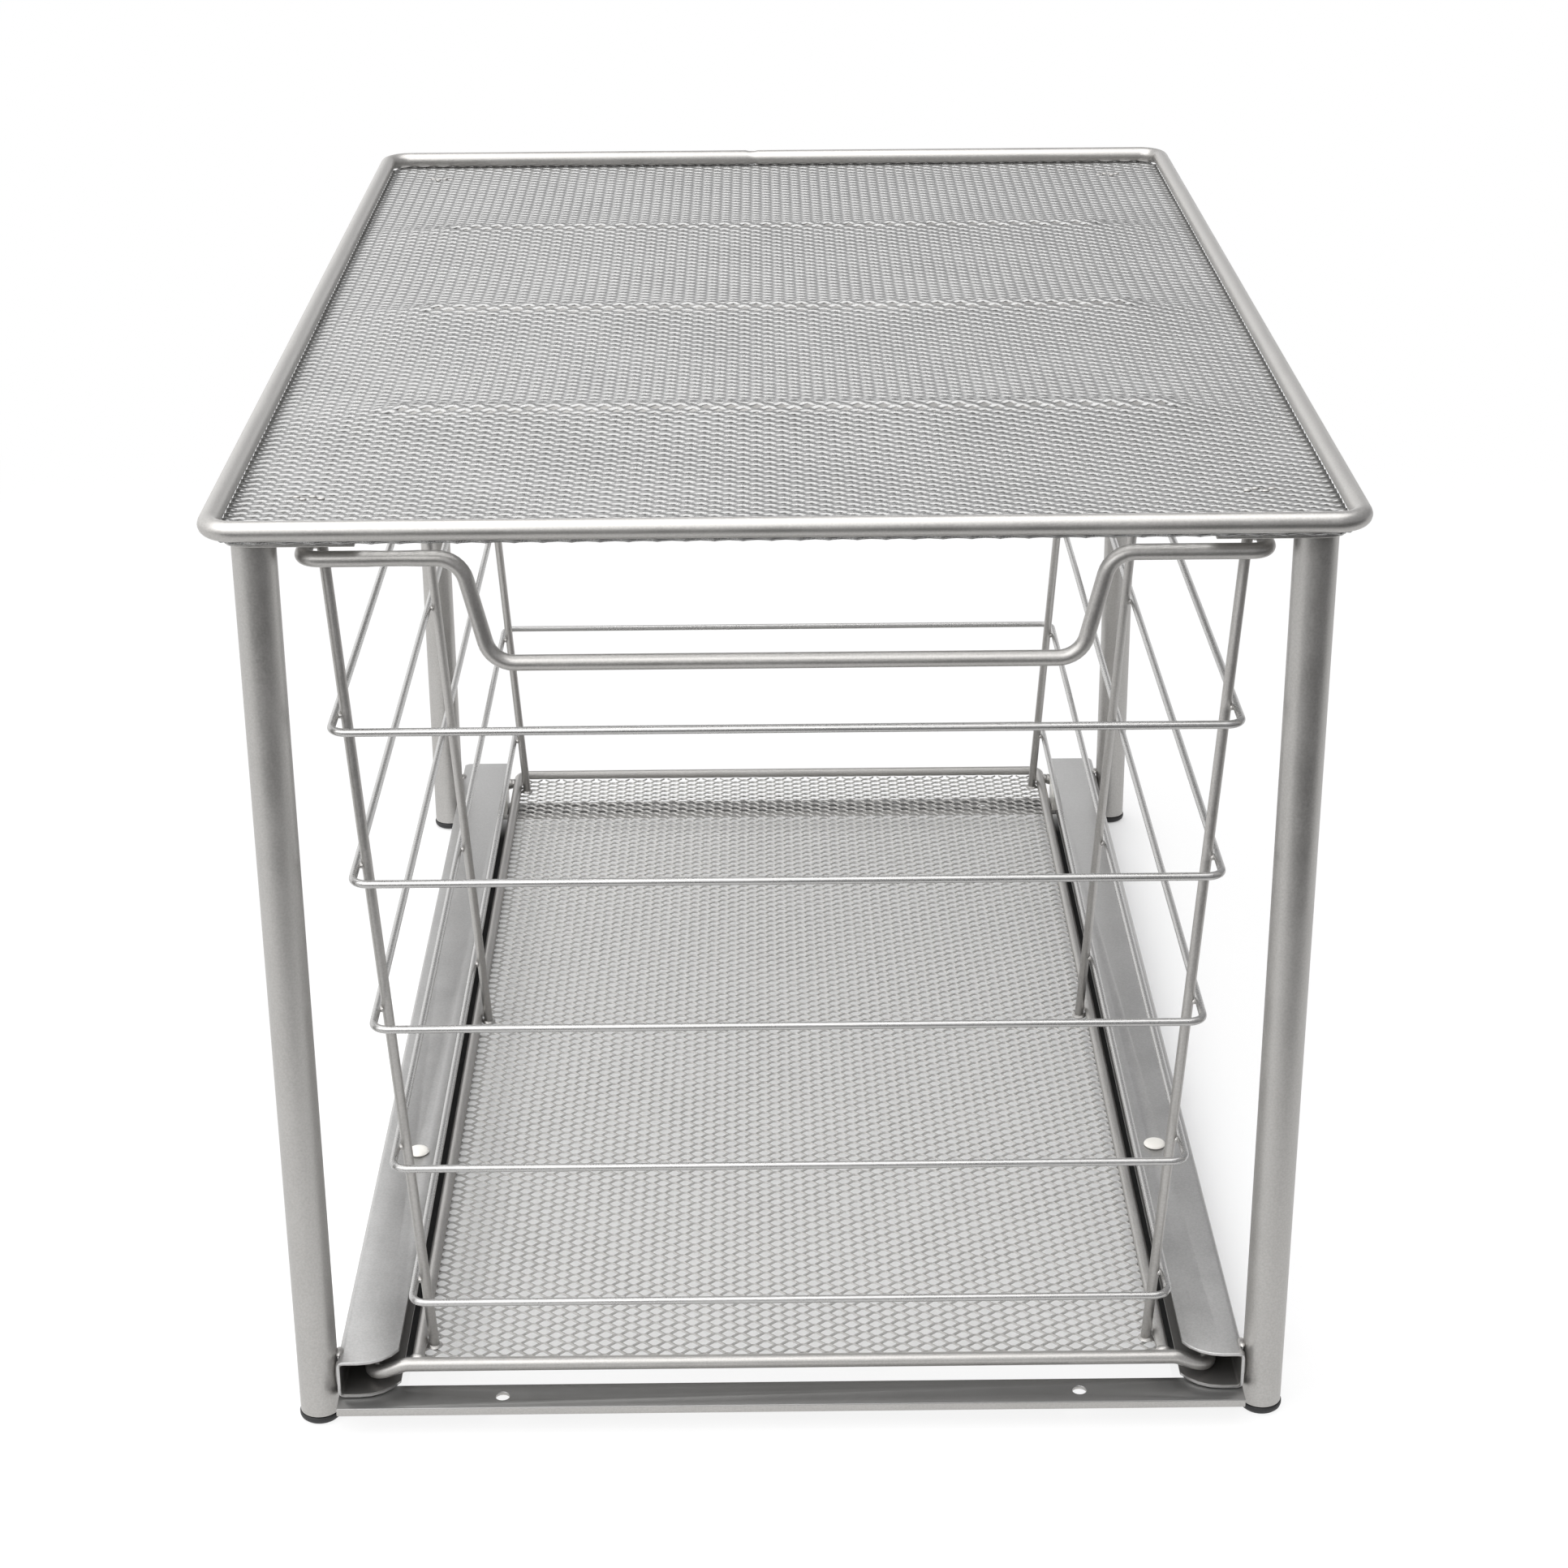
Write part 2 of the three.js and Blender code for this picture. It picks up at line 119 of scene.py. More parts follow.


# %% [markdown]
# The steel is sprayed with satin silver paint: a warm light grey full of fine aluminium flake.
# Close up it has a grain of about half a millimetre, and over a few centimetres the coat is a
# little thicker here and thinner there. The two scales of noise give both, in the colour and in
# the roughness, and the flake also tips the surface a little, which breaks up the highlights.
# Each piece gets its own mix. Some are the same paint mixed lighter or darker as painted light and
# shade: lighter on the rails, on the thin hoops as a painted highlight, and on the drawer bottom's
# mesh, and darker on the shelf's mesh. The hoops and the shelf's mesh are also glossier, and the
# drawer bottom's mesh is more matt. Painted shade darkens the inside of the rails' channel and its
# lip, and the top of the floor strips.

# %% Silver paint
def silver_paint(name, thin, full, metal, sheen, painted_shade=None, shade_mask=None):
    material, start = new_finish(name)
    place = start.node("ShaderNodeTexCoord", output="Object")
    flake = start.node("ShaderNodeTexNoise", sockets={"Vector": place, "Scale": 1700, "Detail": 2})
    coat = start.node("ShaderNodeTexNoise", sockets={"Vector": place, "Scale": 45, "Detail": 3})
    share = steps_between(flake * 0.65 + coat * 0.35, 0.3, 0.7)
    relief = {"Strength": 0.06, "Distance": 0.05 * mm, "Height": flake}
    colour = blend_colours(share, thin, full)
    # Where a shade colour is given, a mask paints part of the piece darker, as painted shade.
    if painted_shade:
        shade_share = shade_mask(along(place, "X"), along(place, "Z"))
        colour = blend_colours(shade_share, colour, painted_shade)
    paint = {
        "Base Color": colour,
        "Metallic": metal,
        "Roughness": steps_between(coat * 0.6 + flake * 0.4, 0.3, 0.7, sheen - 0.05, sheen + 0.06),
        "Normal": start.node("ShaderNodeBump", sockets=relief),
    }
    shader = start.node("ShaderNodeBsdfPrincipled", sockets=paint)
    start.node("ShaderNodeOutputMaterial", sockets={"Surface": shader})
    return material


rail_floor = 10.5 * mm
rail_roof = 21.4 * mm
rail_wall = 134.1 * mm
rail_lip = 117.08 * mm
strip_shoulder = 9.2 * mm


# Painted shade: the inside of the channel and the face of its lip are painted dark, where shade falls.
def rail_channel_shade(across, level):
    apart = across * across
    inside = steps_between(level, rail_floor, rail_floor + 0.3 * mm)
    inside = inside * steps_between(level, rail_roof - 0.3 * mm, rail_roof, 1, 0)
    inside = inside * steps_between(apart, (rail_wall - 0.2 * mm) ** 2, rail_wall ** 2, 1, 0)
    lip = steps_between(apart, (rail_lip - 0.13 * mm) ** 2, rail_lip ** 2, 1, 0)
    return inside + lip * (1 - inside)


# Painted shade: the top of each floor strip is painted darker, where it lies in shade under the drawer.
def strip_top_shade(across, level):
    return steps_between(level, strip_shoulder, strip_shoulder + 0.15 * mm)


warm_silver = ((0.392, 0.382, 0.368), (0.467, 0.457, 0.442))
# the dark colour of the painted shade inside the rails' channel
channel_shade_colour = (0.18, 0.175, 0.168)
# the colour of the painted shade on top of the floor strips
strip_shade_colour = (0.268, 0.266, 0.262)
flake_metal = 0.85
satin = 0.4
finishes = {}
finishes["silver_paint"] = silver_paint("silver paint", *warm_silver, flake_metal, satin)
# The rails' paint is the same paint mixed lighter, as painted light, and holds painted shade inside the
# channel.
finishes["silver_rail"] = silver_paint(
    "silver paint on rails", (0.437, 0.434, 0.428), (0.522, 0.518, 0.511), flake_metal, satin,
    channel_shade_colour, rail_channel_shade
)
# The hoops' paint is the same paint mixed lighter as a painted highlight, and glossier.
finishes["silver_hoop"] = silver_paint(
    "silver paint on hoops", (0.417, 0.413, 0.406), (0.493, 0.489, 0.481), flake_metal, 0.28
)
# the floor strips' paint, with painted shade on their tops
finishes["silver_strip"] = silver_paint(
    "silver paint on floor strips", *warm_silver, flake_metal, satin, strip_shade_colour, strip_top_shade
)
# The shelf mesh's paint is the same paint mixed darker, as painted shade, and glossier.
finishes["silver_mesh"] = silver_paint(
    "silver paint on mesh", (0.291, 0.29, 0.287), (0.351, 0.35, 0.346), 0.65, 0.26
)
# The drawer bottom's paint is the same paint mixed paler, as painted light, and more matt.
finishes["silver_bottom"] = silver_paint(
    "silver paint on drawer bottom", (0.42, 0.413, 0.40), (0.50, 0.492, 0.478), 0.5, 0.42
)
print("paints", list(finishes))

# %% [markdown]
# The foot caps are moulded black plastic with a fine matt grain, and the glide buttons and the
# runner saddles are white nylon, a little creamy and waxy. Both are one moulded colour, so only a
# faint cloudiness and the grain of the mould change over the surface.

# %% Moulded plastics
def moulded_plastic(name, dark, light, gloss, grain):
    material, start = new_finish(name)
    place = start.node("ShaderNodeTexCoord", output="Object")
    cloud = start.node("ShaderNodeTexNoise", sockets={"Vector": place, "Scale": 160, "Detail": 3})
    pits = start.node("ShaderNodeTexNoise", sockets={"Vector": place, "Scale": 2400, "Detail": 1})
    relief = {"Strength": grain, "Distance": 0.05 * mm, "Height": pits}
    plastic = {
        "Base Color": blend_colours(steps_between(cloud, 0.3, 0.7), dark, light),
        "Roughness": steps_between(pits, 0.3, 0.7, gloss - 0.06, gloss + 0.08),
        "Normal": start.node("ShaderNodeBump", sockets=relief),
    }
    shader = start.node("ShaderNodeBsdfPrincipled", sockets=plastic)
    start.node("ShaderNodeOutputMaterial", sockets={"Surface": shader})
    return material


finishes["black_plastic"] = moulded_plastic(
    "black plastic", (0.010, 0.010, 0.011), (0.017, 0.017, 0.018), 0.5, 0.25
)
finishes["white_nylon"] = moulded_plastic(
    "white nylon", (0.80, 0.78, 0.73), (0.87, 0.85, 0.80), 0.34, 0.08
)
print("finishes", list(finishes))

# %% [markdown]
# Every piece ends the same way: its faces are turned outwards, it is smoothed except across real
# edges, it gets the finish of its material slot, it rides on its body, and it hides the CAD nodes
# that it stands for.

# %% One ending for every piece
def finish_piece(bm, name, body, slot, *nodes, crease=35, finish=None):
    bmesh.ops.recalc_face_normals(bm, faces=bm.faces[:])
    mesh = bpy.data.meshes.new(name)
    bm.to_mesh(mesh)
    bm.free()
    mesh.shade_smooth()
    mesh.set_sharp_from_angle(angle=radians(crease))
    mesh.materials.append(finishes[finish or slot])
    piece = bpy.data.objects.new(name, mesh)
    bpy.context.scene.collection.objects.link(piece)
    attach(piece, body)
    if nodes:
        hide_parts(*nodes)
    print(name, len(mesh.polygons), "faces")
    return piece


# %% [markdown]
# Most of the object is wire bent on pins. A wire could be a bevelled curve, but here it is drawn as
# the bender works: a circle is pushed along each straight run and spun around each pin. The bend
# radii then come out true, and the runs stay light, with one face from bend to bend.

# %% Bent wire
def push(bm, rim, move):
    grown = bmesh.ops.extrude_edge_only(bm, edges=rim)["geom"]
    bmesh.ops.translate(bm, verts=[g for g in grown if isinstance(g, bmesh.types.BMVert)], vec=move)
    return [g for g in grown if isinstance(g, bmesh.types.BMEdge)]


def round_over(bm, edges, size, segments=3):
    bmesh.ops.bevel(
        bm, geom=edges, offset=size, offset_type="OFFSET", segments=segments,
        profile=0.5, affect="EDGES", material=-1,
    )


def bent_wire(corners, bends, wire, closed=False, sides=20, bend_steps=8):
    stops = [Vector(corner) for corner in corners]
    if closed:
        seam = (stops[0] + stops[-1]) / 2
        stops = [seam, *stops, seam]
    bm = bmesh.new()
    facing = (stops[1] - stops[0]).to_track_quat("Z", "Y").to_matrix().to_4x4()
    start = Matrix.Translation(stops[0]) @ facing
    bmesh.ops.create_circle(bm, segments=sides, radius=wire / 2, matrix=start)
    first_rim = rim = bm.edges[:]
    here = stops[0]
    for before, corner, after, bend in zip(stops, stops[1:], stops[2:], cycle(bends)):
        ahead = (corner - before).normalized()
        away = (after - corner).normalized()
        turn = ahead.angle(away)
        hold = bend * tan(turn / 2)
        rim = push(bm, rim, corner - ahead * hold - here)
        pin = ahead.cross(away).normalized()
        centre = corner - ahead * hold + pin.cross(ahead) * bend
        ring = [*rim, *{vert for edge in rim for vert in edge.verts}]
        spun = bmesh.ops.spin(bm, geom=ring, cent=centre, axis=pin, angle=turn, steps=bend_steps)
        rim = [g for g in spun["geom_last"] if isinstance(g, bmesh.types.BMEdge)]
        here = corner + away * hold
    rim = push(bm, rim, stops[-1] - here)
    if closed:
        bmesh.ops.remove_doubles(bm, verts=bm.verts[:], dist=0.01 * mm)
    else:
        bmesh.ops.edgeloop_fill(bm, edges=first_rim)
        bmesh.ops.edgeloop_fill(bm, edges=rim)
        round_over(bm, [*first_rim, *rim], 0.12 * wire, 2)
    return bm


# %% [markdown]
# The shelf's rim is the thickest wire, bent to a rectangle and butt-welded in the middle of the
# back. The weld was ground down, which left a slight waist. A few cuts across the wire give rings
# to squeeze there.

# %% Shelf rim
def squeeze_wire(bm, at, way, reach, size):
    for share in (-1, -0.5, 0, 0.5, 1):
        everything = [*bm.verts, *bm.edges, *bm.faces]
        bmesh.ops.bisect_plane(
            bm, geom=everything, dist=0.001 * mm, plane_co=at + way * reach * share, plane_no=way
        )
    near = [v for v in bm.verts if (v.co - at).length < 0.55 * reach + 4 * mm]
    inner = [v for v in near if abs((v.co - at).dot(way)) < 0.6 * reach]
    bmesh.ops.scale(bm, vec=size, verts=inner, space=Matrix.Translation(-at))


def rectangle(half_width, front, rear, level):
    return [
        (-half_width, front, level), (half_width, front, level),
        (half_width, rear, level), (-half_width, rear, level),
    ]


low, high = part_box("top_rim")
rim_wire = high.z - low.z
rim_level = (low.z + high.z) / 2
rim_half = high.x - rim_wire / 2
rim_front = low.y + rim_wire / 2
rim_rear = high.y - rim_wire / 2
rim_bend = 8 * mm
rim_corners = rectangle(rim_half, rim_front, rim_rear, rim_level)
bm = bent_wire(rim_corners, [rim_bend], rim_wire, closed=True, sides=28)
rim_weld = Vector((-9 * mm, rim_rear, rim_level))
crosswise = Vector((1, 0, 0))
squeeze_wire(bm, rim_weld, crosswise, 2.4 * mm, (1, 0.93, 0.9))
finish_piece(bm, "shelf_rim_wire", "stand", "silver_paint", "top_rim")

# %% [markdown]
# Both sheets are expanded metal: a steel sheet is slit in rows and pulled, so the slits open to
# diamonds and the strands between them stand a little on edge. One bond, where four strands meet,
# is a leaning diamond. Its two rear edges are drawn out to the next bonds as strands, and arrays
# repeat that cell over the sheet. The sheet gets its thickness at the end. The drawer's sheet has
# the same pitch, but its bonds are wider and lean the other way, as the metal lies the other side up.

# %% One cell of expanded metal
long_way = 7.5 * mm
short_way = 4.24 * mm
shelf_stock = {"sides": 4, "length": 1.3 * mm, "width": 0.36 * mm, "lean": 0.29 * mm}
bottom_stock = {"sides": 6, "length": 1.0 * mm, "width": 0.95 * mm, "lean": -0.62 * mm}
shelf_thickness = 0.85 * mm
bottom_thickness = 0.6 * mm


def expanded_cell(stock):
    bm = bmesh.new()
    quarter = Matrix.Rotation(pi / 2, 4, "Z")
    ring = {"segments": stock["sides"], "radius": 1, "matrix": quarter}
    bond = bmesh.ops.create_circle(bm, cap_ends=True, **ring)["verts"]
    tallest = max(vert.co.y for vert in bond)
    bmesh.ops.scale(bm, vec=(stock["length"], stock["width"] / tallest, 1), verts=bond)
    lean = Matrix.Identity(4)
    lean[2][1] = stock["lean"] / stock["width"]
    bmesh.ops.transform(bm, matrix=lean, verts=bond)
    shoulder = max(vert.co.x for vert in bond if vert.co.y > 0.1 * mm)
    reach = long_way / 2 - stock["length"] - shoulder
    for side in (1, -1):
        strand = Vector((side * reach, short_way / 2 - stock["width"], -stock["lean"]))
        ahead = [v for v in bond if v.co.y > -0.1 * mm and side * v.co.x > -0.1 * mm]
        push(bm, [e for e in bm.edges if all(v in ahead for v in e.verts)], strand)
    return bm


def expanded_sheet(stock, columns, rows, corner):
    cell = bpy.data.meshes.new("expanded_cell")
    bm = expanded_cell(stock)
    bmesh.ops.translate(bm, verts=bm.verts[:], vec=corner)
    bm.to_mesh(cell)
    bm.free()
    pattern = bpy.data.objects.new("expanded_cell", cell)
    bpy.context.scene.collection.objects.link(pattern)
    steps = (
        (columns, (long_way, 0, 0)),
        (2, (long_way / 2, short_way / 2, 0)),
        ((rows + 1) // 2, (0, short_way, 0)),
    )
    for count, offset in steps:
        array = pattern.modifiers.new("repeat", "ARRAY")
        array.count = count
        array.use_relative_offset = False
        array.use_constant_offset = True
        array.constant_offset_displace = offset
    bpy.context.view_layer.update()
    bm = bmesh.new()
    bm.from_object(pattern, bpy.context.evaluated_depsgraph_get())
    bpy.data.objects.remove(pattern)
    bpy.data.meshes.remove(cell)
    bmesh.ops.remove_doubles(bm, verts=bm.verts[:], dist=0.02 * mm)
    return bm


def trim(bm, at, outwards):
    everything = [*bm.verts, *bm.edges, *bm.faces]
    bmesh.ops.bisect_plane(
        bm, geom=everything, dist=0.01 * mm, plane_co=at, plane_no=outwards, clear_outer=True
    )


def give_thickness(bm, thickness):
    bmesh.ops.recalc_face_normals(bm, faces=bm.faces[:])
    bmesh.ops.translate(bm, verts=bm.verts[:], vec=(0, 0, thickness / 2))
    bmesh.ops.solidify(bm, geom=bm.faces[:], thickness=thickness)


print("strand cell", len(expanded_cell(shelf_stock).faces), "faces")

# %% [markdown]
# Three flat bars stiffen the shelf from below, and the sheet bows up to each of them. It climbs
# slowly from the front, takes one whole row of diamonds as a step up the tilted bar, and drops away
# behind it. Halfway between two bars it sags a little, and towards the sides the bows fade out. One
# function gives the height at any place.

# %% Bows over the crossbars
def ramp(value, start, end):
    return min(1, max(0, (value - start) / (end - start)))


low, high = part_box("top_mesh")
shelf_level = (low.z + high.z) / 2
shelf_front = low.y + 2.4 * mm
bar_rises = {"front": 2.5 * mm, "middle": 3.1 * mm, "rear": 3.3 * mm}
row_rise = 1.2 * mm
rear_bow = 1.1 * mm
sag = 0.5 * mm
sag_front = -190 * mm
sag_rear = 150 * mm
sag_end = 222 * mm
climb = 70 * mm
fall = 9 * mm
tail = 45 * mm
bow_full = 116 * mm
bow_end = 152 * mm
bar_places = {}
crests = {}
for place in bar_rises:
    low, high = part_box("crossbar_" + place)
    bar_places[place] = (low.y + high.y) / 2
    bond_row = round((high.y - shelf_front) / short_way * 2)
    crests[place] = shelf_front + bond_row * short_way / 2
bar_half_length = high.x


def shelf_rise(x, y):
    bow_share = ramp(abs(x), bow_end, bow_full)
    row_share = ramp(abs(x), bar_half_length + 8 * mm, bar_half_length - 1 * mm)
    bow = -sag * ramp(y, shelf_front, sag_front) * ramp(y, sag_end, sag_rear)
    row = 0
    for place, crest in crests.items():
        behind = y - crest
        bow_rise = bar_rises[place] - row_rise + sag
        downhill = ramp(behind, fall, 0)
        if behind < 0:
            bow += bow_rise * ramp(behind, -climb, -short_way) ** 2
            row += row_rise * ramp(behind, -short_way, 0)
        else:
            bow += rear_bow * ramp(behind, tail, fall) ** 2 + (bow_rise - rear_bow) * downhill
            row += row_rise * downhill
    return bow_share * bow + row_share * row


print("crests at", {place: round(y / mm, 1) for place, y in crests.items()}, "mm")

# %% [markdown]
# The shelf sheet lies under the rim. Its front edge was cut along a row of bonds, so it is wavy and
# shows below the rim. At the back the sheet is pulled up against the rim by the welds. A flat sheet
# of cells is trimmed to size, and then each of its points is raised to its height.

# %% Shelf sheet
low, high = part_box("top_mesh")
rows = round((high.y - low.y) / short_way * 2)
columns = round((high.x - low.x) / long_way) + 2
bm = expanded_sheet(shelf_stock, columns, rows, (-columns / 2 * long_way, shelf_front, 0))
shelf_half = high.x - 2.6 * mm
front_corner_cut = 7 * mm
rear_corner_cut = 4.5 * mm
rear_edge = high.y + 1 * mm
below_rim = 0.1 * mm
rear_lift = 0.45 * mm
for side in (1, -1):
    trim(bm, (side * shelf_half, 0, 0), (side, 0, 0))
    trim(bm, (side * shelf_half, low.y + front_corner_cut, 0), (side, -1, 0))
    trim(bm, (side * shelf_half, high.y - rear_corner_cut, 0), (side, 1, 0))
trim(bm, (0, rear_edge, 0), (0, 1, 0))
for vert in bm.verts:
    x, y = vert.co.xy
    weld_rise = rear_lift * ramp(y, high.y - 14 * mm, high.y - 2 * mm)
    vert.co.z += shelf_level - below_rim + weld_rise + shelf_rise(x, y)
give_thickness(bm, shelf_thickness)
finish_piece(bm, "shelf_expanded_sheet", "stand", "silver_mesh", "top_mesh", crease=180)

# %% [markdown]
# The crossbars, gussets, rails, strips and saddles are cut, stamped or moulded, and their CAD solids
# already have the right form. What they lack is the small rounding that every real edge has and that
# catches the light. A copy of the solid is merged and cleaned to flat faces, and its edges are
# rounded. The bars are then tilted and lifted against the bowed sheet, and the gussets are drawn in
# a little from the rim.

# %% Rounded copies of the stamped solids
def cad_copy(node):
    bm = bmesh.new()
    bm.from_mesh(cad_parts[node].data)
    bmesh.ops.remove_doubles(bm, verts=bm.verts[:], dist=0.005 * mm)
    bmesh.ops.dissolve_limit(bm, angle_limit=radians(0.5), verts=bm.verts[:], edges=bm.edges[:])
    return bm


def sharp_edges(bm, least=40):
    return [e for e in bm.edges if len(e.link_faces) == 2 and e.calc_face_angle() > radians(least)]


bar_tilt = Matrix.Rotation(row_rise / short_way, 3, "X")
bar_edge = 0.95 * mm
under_sheet = 0.48 * mm
for place in bar_places:
    bm = cad_copy("crossbar_" + place)
    round_over(bm, sharp_edges(bm, 60), bar_edge, 4)
    low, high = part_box("crossbar_" + place)
    hinge = Vector((0, bar_places[place], high.z))
    bmesh.ops.rotate(bm, cent=hinge, matrix=bar_tilt, verts=bm.verts[:])
    bmesh.ops.translate(bm, verts=bm.verts[:], vec=(0, 0, bar_rises[place] - under_sheet))
    finish_piece(bm, "shelf_bar_" + place, "stand", "silver_paint", "crossbar_" + place)

corners = ("front_left", "front_right", "rear_left", "rear_right")
gusset_share = (0.89, 0.89, 1)
gusset_edge = 0.2 * mm
for corner in corners:
    bm = cad_copy("corner_plate_" + corner)
    low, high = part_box("corner_plate_" + corner)
    inner = Vector((min(low.x, high.x, key=abs), min(low.y, high.y, key=abs), 0))
    bmesh.ops.scale(bm, vec=gusset_share, verts=bm.verts[:], space=Matrix.Translation(-inner))
    round_over(bm, sharp_edges(bm), gusset_edge, 2)
    finish_piece(bm, "gusset_" + corner, "stand", "silver_paint", "corner_plate_" + corner)

# %% [markdown]
# The legs are plain tube and the foot caps are turned-looking plugs, so both are a profile spun
# around an upright axis, as on a lathe. The cap's flange is a little wider than the tube, and its
# lower edge is well rounded.

# %% Legs and foot caps
def turned(profile, x, y, sides=40):
    bm = bmesh.new()
    dots = [bm.verts.new((x + radius * mm, y, level * mm)) for radius, level in profile]
    lines = [bm.edges.new(pair) for pair in zip(dots, dots[1:])]
    bmesh.ops.spin(
        bm, geom=dots + lines, cent=(x, y, 0), axis=(0, 0, 1), angle=2 * pi, steps=sides, use_merge=True
    )
    bmesh.ops.remove_doubles(bm, verts=bm.verts[:], dist=0.002 * mm)
    return bm


leg_places = {}
tube_wall = 1
for corner in corners:
    low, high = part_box("leg_" + corner)
    x, y = (low.x + high.x) / 2, (low.y + high.y) / 2
    leg_places[corner] = Vector((x, y, high.z))
    outer, foot, head = (high.x - low.x) / 2 / mm, low.z / mm, high.z / mm
    bore = outer - tube_wall
    tube = [(outer, foot), (outer, head), (bore, head), (bore, foot), (outer, foot)]
    bm = turned(tube, x, y, 48)
    finish_piece(bm, "tube_leg_" + corner, "stand", "silver_paint", "leg_" + corner)
    cap = [
        (0, 0), (4.7, 0), (5.5, 0.25), (6.05, 0.8), (6.3, 1.5), (6.3, 2.3), (6.1, 2.6), (4.8, 2.6),
        (4.8, 13.2), (4.3, 14), (0, 14),
    ]
    bm = turned(cap, x, y, 48)
    finish_piece(bm, "foot_plug_" + corner, "stand", "black_plastic", "foot_cap_" + corner, crease=50)

# %% [markdown]
# Each rail is one sheet folded to a channel that opens inwards. The two folds have an outer radius
# of about two millimetres, and the cut edges are just broken, so the long fold edges and the other
# edges are rounded in two steps.

# %% Channel rails
def folds(bm, node, gap):
    close = 0.2 * mm
    low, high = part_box(node)
    web = high.x if high.x > 0 else low.x
    found = []
    for edge in sharp_edges(bm):
        ends = [vert.co for vert in edge.verts]
        long_enough = abs(ends[0].y - ends[1].y) > 200 * mm
        at_web = all(abs(abs(co.x - web) - gap) < close for co in ends)
        level = min(min(abs(co.z - low.z - gap), abs(co.z - high.z + gap)) for co in ends)
        if long_enough and at_web and level < close:
            found.append(edge)
    return found


rail_sheet = 1.1 * mm
fold_outside = 2 * mm
fold_inside = 0.9 * mm
rail_cut_edge = 0.2 * mm
for side in ("left", "right"):
    bm = cad_copy("rail_" + side)
    round_over(bm, folds(bm, "rail_" + side, 0), fold_outside, 5)
    round_over(bm, folds(bm, "rail_" + side, rail_sheet), fold_inside, 4)
    round_over(bm, sharp_edges(bm, 60), rail_cut_edge, 2)
    finish_piece(
        bm, "channel_rail_" + side, "stand", "silver_paint", "rail_" + side, finish="silver_rail"
    )

# %% [markdown]
# A flat strip joins the rails at each end, with two screw holes and a lip folded down in front.

# %% Floor strips
strip_edge = 0.25 * mm
for end in ("front", "rear"):
    bm = cad_copy(end + "_strip")
    round_over(bm, sharp_edges(bm, 60), strip_edge, 2)
    finish_piece(
        bm, "floor_strip_" + end, "stand", "silver_paint", end + "_strip", finish="silver_strip"
    )

# %% [markdown]
# A white nylon button is pressed through the top of each rail, with a domed head above and a pad
# below that keeps the runner from tipping. It is a turned profile as well.

# %% Glide buttons
for side in ("left", "right"):
    low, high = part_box("rail_glide_" + side)
    x, y = (low.x + high.x) / 2, (low.y + high.y) / 2
    button = [
        (0, 19.1), (3.3, 19.1), (3.6, 19.4), (3.6, 20.4), (3.3, 20.7), (1.7, 20.7), (1.7, 22.3),
        (3.4, 22.3), (3.6, 22.6), (3.4, 23.0), (2.7, 23.4), (1.6, 23.65), (0, 23.7),
    ]
    bm = turned(button, x, y, 32)
    finish_piece(bm, "glide_button_" + side, "stand", "white_nylon", "rail_glide_" + side, crease=50)

# %% [markdown]
# The drawer's front bottom bar and its two runners are one long wire. At each end of the bar it is
# joggled down and out into the channel, turns back along it, and comes in again at the rear.

# %% Runner wire
low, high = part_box("slide_wire")
runner_wire = 4.2 * mm
runner_x = high.x - runner_wire / 2
runner_level = low.z + runner_wire / 2
bar_level = high.z - runner_wire / 2
bar_front = low.y + runner_wire / 2
runner_rear = high.y - runner_wire / 2
runner_bend = 6 * mm
joggle_x = 115.2 * mm
rear_end_x = 113.9 * mm
half = [
    (joggle_x, bar_front, bar_level), (runner_x, bar_front, runner_level),
    (runner_x, runner_rear, runner_level), (rear_end_x, runner_rear, bar_level),
]
other_half = [(-x, y, z) for x, y, z in reversed(half)]
bm = bent_wire(other_half + half, [runner_bend], runner_wire)
finish_piece(bm, "runner_wire", "drawer", "silver_paint", "slide_wire")

# %% [markdown]
# The bottom frame is a U of wire, open to the front, where its ends are welded to the front bar.
# The bottom sheet is welded under both. It is expanded metal too, laid flat, and trimmed on all
# four sides.

# %% Drawer bottom
low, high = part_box("base_frame")
frame_wire = high.z - low.z
frame_half = high.x - frame_wire / 2
frame_rear = high.y - frame_wire / 2
frame_level = (low.z + high.z) / 2
frame_bend = 4.5 * mm
sides_and_back = [
    (-frame_half, low.y, frame_level), (-frame_half, frame_rear, frame_level),
    (frame_half, frame_rear, frame_level), (frame_half, low.y, frame_level),
]
bm = bent_wire(sides_and_back, [frame_bend], frame_wire)
finish_piece(bm, "bottom_frame_wire", "drawer", "silver_paint", "base_frame")

low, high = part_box("base_mesh")
rows = round((high.y - low.y) / short_way * 2) + 2
columns = round((high.x - low.x) / long_way) + 2
bm = expanded_sheet(bottom_stock, columns, rows, (-columns / 2 * long_way, low.y - short_way / 2, 0))
front_cut = low.y + 3 * mm
trim(bm, (high.x, 0, 0), (1, 0, 0))
trim(bm, (low.x, 0, 0), (-1, 0, 0))
trim(bm, (0, high.y, 0), (0, 1, 0))
trim(bm, (0, front_cut, 0), (0, -1, 0))
bmesh.ops.translate(bm, verts=bm.verts[:], vec=(0, 0, (low.z + high.z) / 2))
give_thickness(bm, bottom_thickness)
finish_piece(
    bm, "bottom_expanded_sheet", "drawer", "silver_mesh", "base_mesh", crease=62, finish="silver_bottom"
)

# %% [markdown]
# A white saddle is clipped on the back of each runner, to fill the channel and guide it.

# %% Runner saddles
saddle_edge = 0.5 * mm
for side in ("left", "right"):
    bm = cad_copy("rear_slider_" + side)
    round_over(bm, sharp_edges(bm, 60), saddle_edge, 3)
    finish_piece(bm, "runner_saddle_" + side, "drawer", "white_nylon", "rear_slider_" + side)

